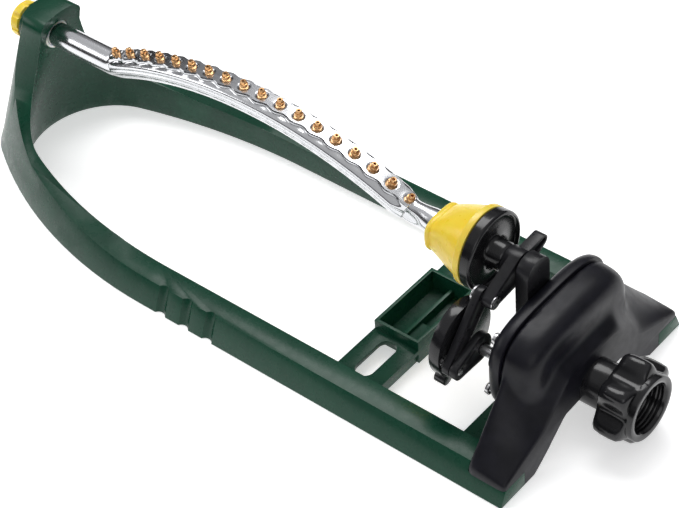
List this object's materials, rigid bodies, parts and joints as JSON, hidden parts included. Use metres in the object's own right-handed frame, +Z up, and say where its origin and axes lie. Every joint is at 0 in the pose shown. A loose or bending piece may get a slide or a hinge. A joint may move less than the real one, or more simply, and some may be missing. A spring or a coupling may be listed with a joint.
{
  "type": "oscillating sprinkler",
  "caption": "Oscillating lawn sprinkler: an arched spray tube with nozzles rocks on a U-shaped base, driven by a water motor behind a hose inlet.",
  "frame": {"origin": "on the ground under the middle of the overall box", "axes": "+X along the machine from the round nose to the hose nut, +Z up, +Y to the left seen from the nose"},
  "size_m": [0.4428, 0.1534, 0.1103],
  "materials": {
    "green_plastic": "semi-gloss moulded dark green",
    "aluminium": "bright drawn and stamped",
    "brass": "turned brass",
    "yellow_plastic": "semi-gloss moulded golden yellow",
    "black_gloss": "glossy black moulding",
    "black_satin": "satin black moulding",
    "black_textured": "fine-grained black moulding",
    "steel": "plain steel",
    "acetal": "natural acetal",
    "seal_rubber": "soft rubber"
  },
  "bodies": {
    "base": {"base_frame": "green_plastic", "post_bush": "acetal", "motor_housing": "black_textured", "gear_case_cover": "black_textured", "output_bush": "acetal", "outlet_elbow": "black_satin", "reduction_gearbox": "acetal", "inlet_spigot": "black_gloss", "inlet_screen": "steel", "jet_ring": "acetal", "hose_washer": "seal_rubber", "case_screws": "steel", "leg_screws": "steel"},
    "rocker": {"drive_lever": "black_satin", "range_dial": "black_gloss", "lever_pin": "steel", "lever_clip": "steel"},
    "spray_bar": {"tube_cap": "yellow_plastic", "spray_tube": "aluminium", "spray_nozzles": "brass", "cap_seal": "seal_rubber"},
    "plug": {"flush_plug": "yellow_plastic", "plug_seal": "seal_rubber"},
    "crank": {"output_shaft": "steel", "crank_arm": "black_satin", "crank_pin": "steel", "crank_dial": "black_gloss", "output_gear": "acetal"},
    "rod": {"connecting_rod": "black_satin"},
    "pinion": {"drive_pinion": "acetal"},
    "turbine": {"turbine_wheel": "acetal", "turbine_shaft": "steel"},
    "nut": {"hose_nut": "black_gloss"}
  },
  "joints": [
    {"name": "tube_swing", "type": "hinge", "parent": "base", "child": "rocker", "pos_m": [0.1257, 0, 0.0775], "axis": [1, 0, 0], "range_deg": [-40, 40]},
    {"name": "range_setting", "type": "hinge", "parent": "rocker", "child": "spray_bar", "pos_m": [0.1223, 0, 0.0775], "axis": [1, 0, 0], "range_deg": [-25, 25]},
    {"name": "plug_turn", "type": "hinge", "parent": "spray_bar", "child": "plug", "pos_m": [-0.1946, 0, 0.0775], "axis": [1, 0, 0], "range_deg": [0, 90]},
    {"name": "crank_turn", "type": "hinge", "parent": "base", "child": "crank", "pos_m": [0.1548, -0.032, 0.0465], "axis": [1, 0, 0], "range_deg": [-50, 50]},
    {"name": "rod_turn", "type": "hinge", "parent": "crank", "child": "rod", "pos_m": [0.1375, -0.04878, 0.04375], "axis": [1, 0, 0], "range_deg": [-56, 56]},
    {"name": "pinion_turn", "type": "hinge", "parent": "base", "child": "pinion", "pos_m": [0.1598, -0.019, 0.0465], "axis": [1, 0, 0], "range_deg": [-80, 80]},
    {"name": "turbine_spin", "type": "hinge", "parent": "base", "child": "turbine", "pos_m": [0.1764, 0, 0.0244], "axis": [1, 0, 0], "continuous": true},
    {"name": "nut_spin", "type": "hinge", "parent": "base", "child": "nut", "pos_m": [0.2025, 0, 0.0244], "axis": [1, 0, 0], "continuous": true}
  ],
  "couplings": [
    {"joint": "crank_turn", "follows": "tube_swing", "ratio": 1.224},
    {"joint": "rod_turn", "follows": "tube_swing", "ratio": -1.334},
    {"joint": "pinion_turn", "follows": "tube_swing", "ratio": -1.9584}
  ]
}
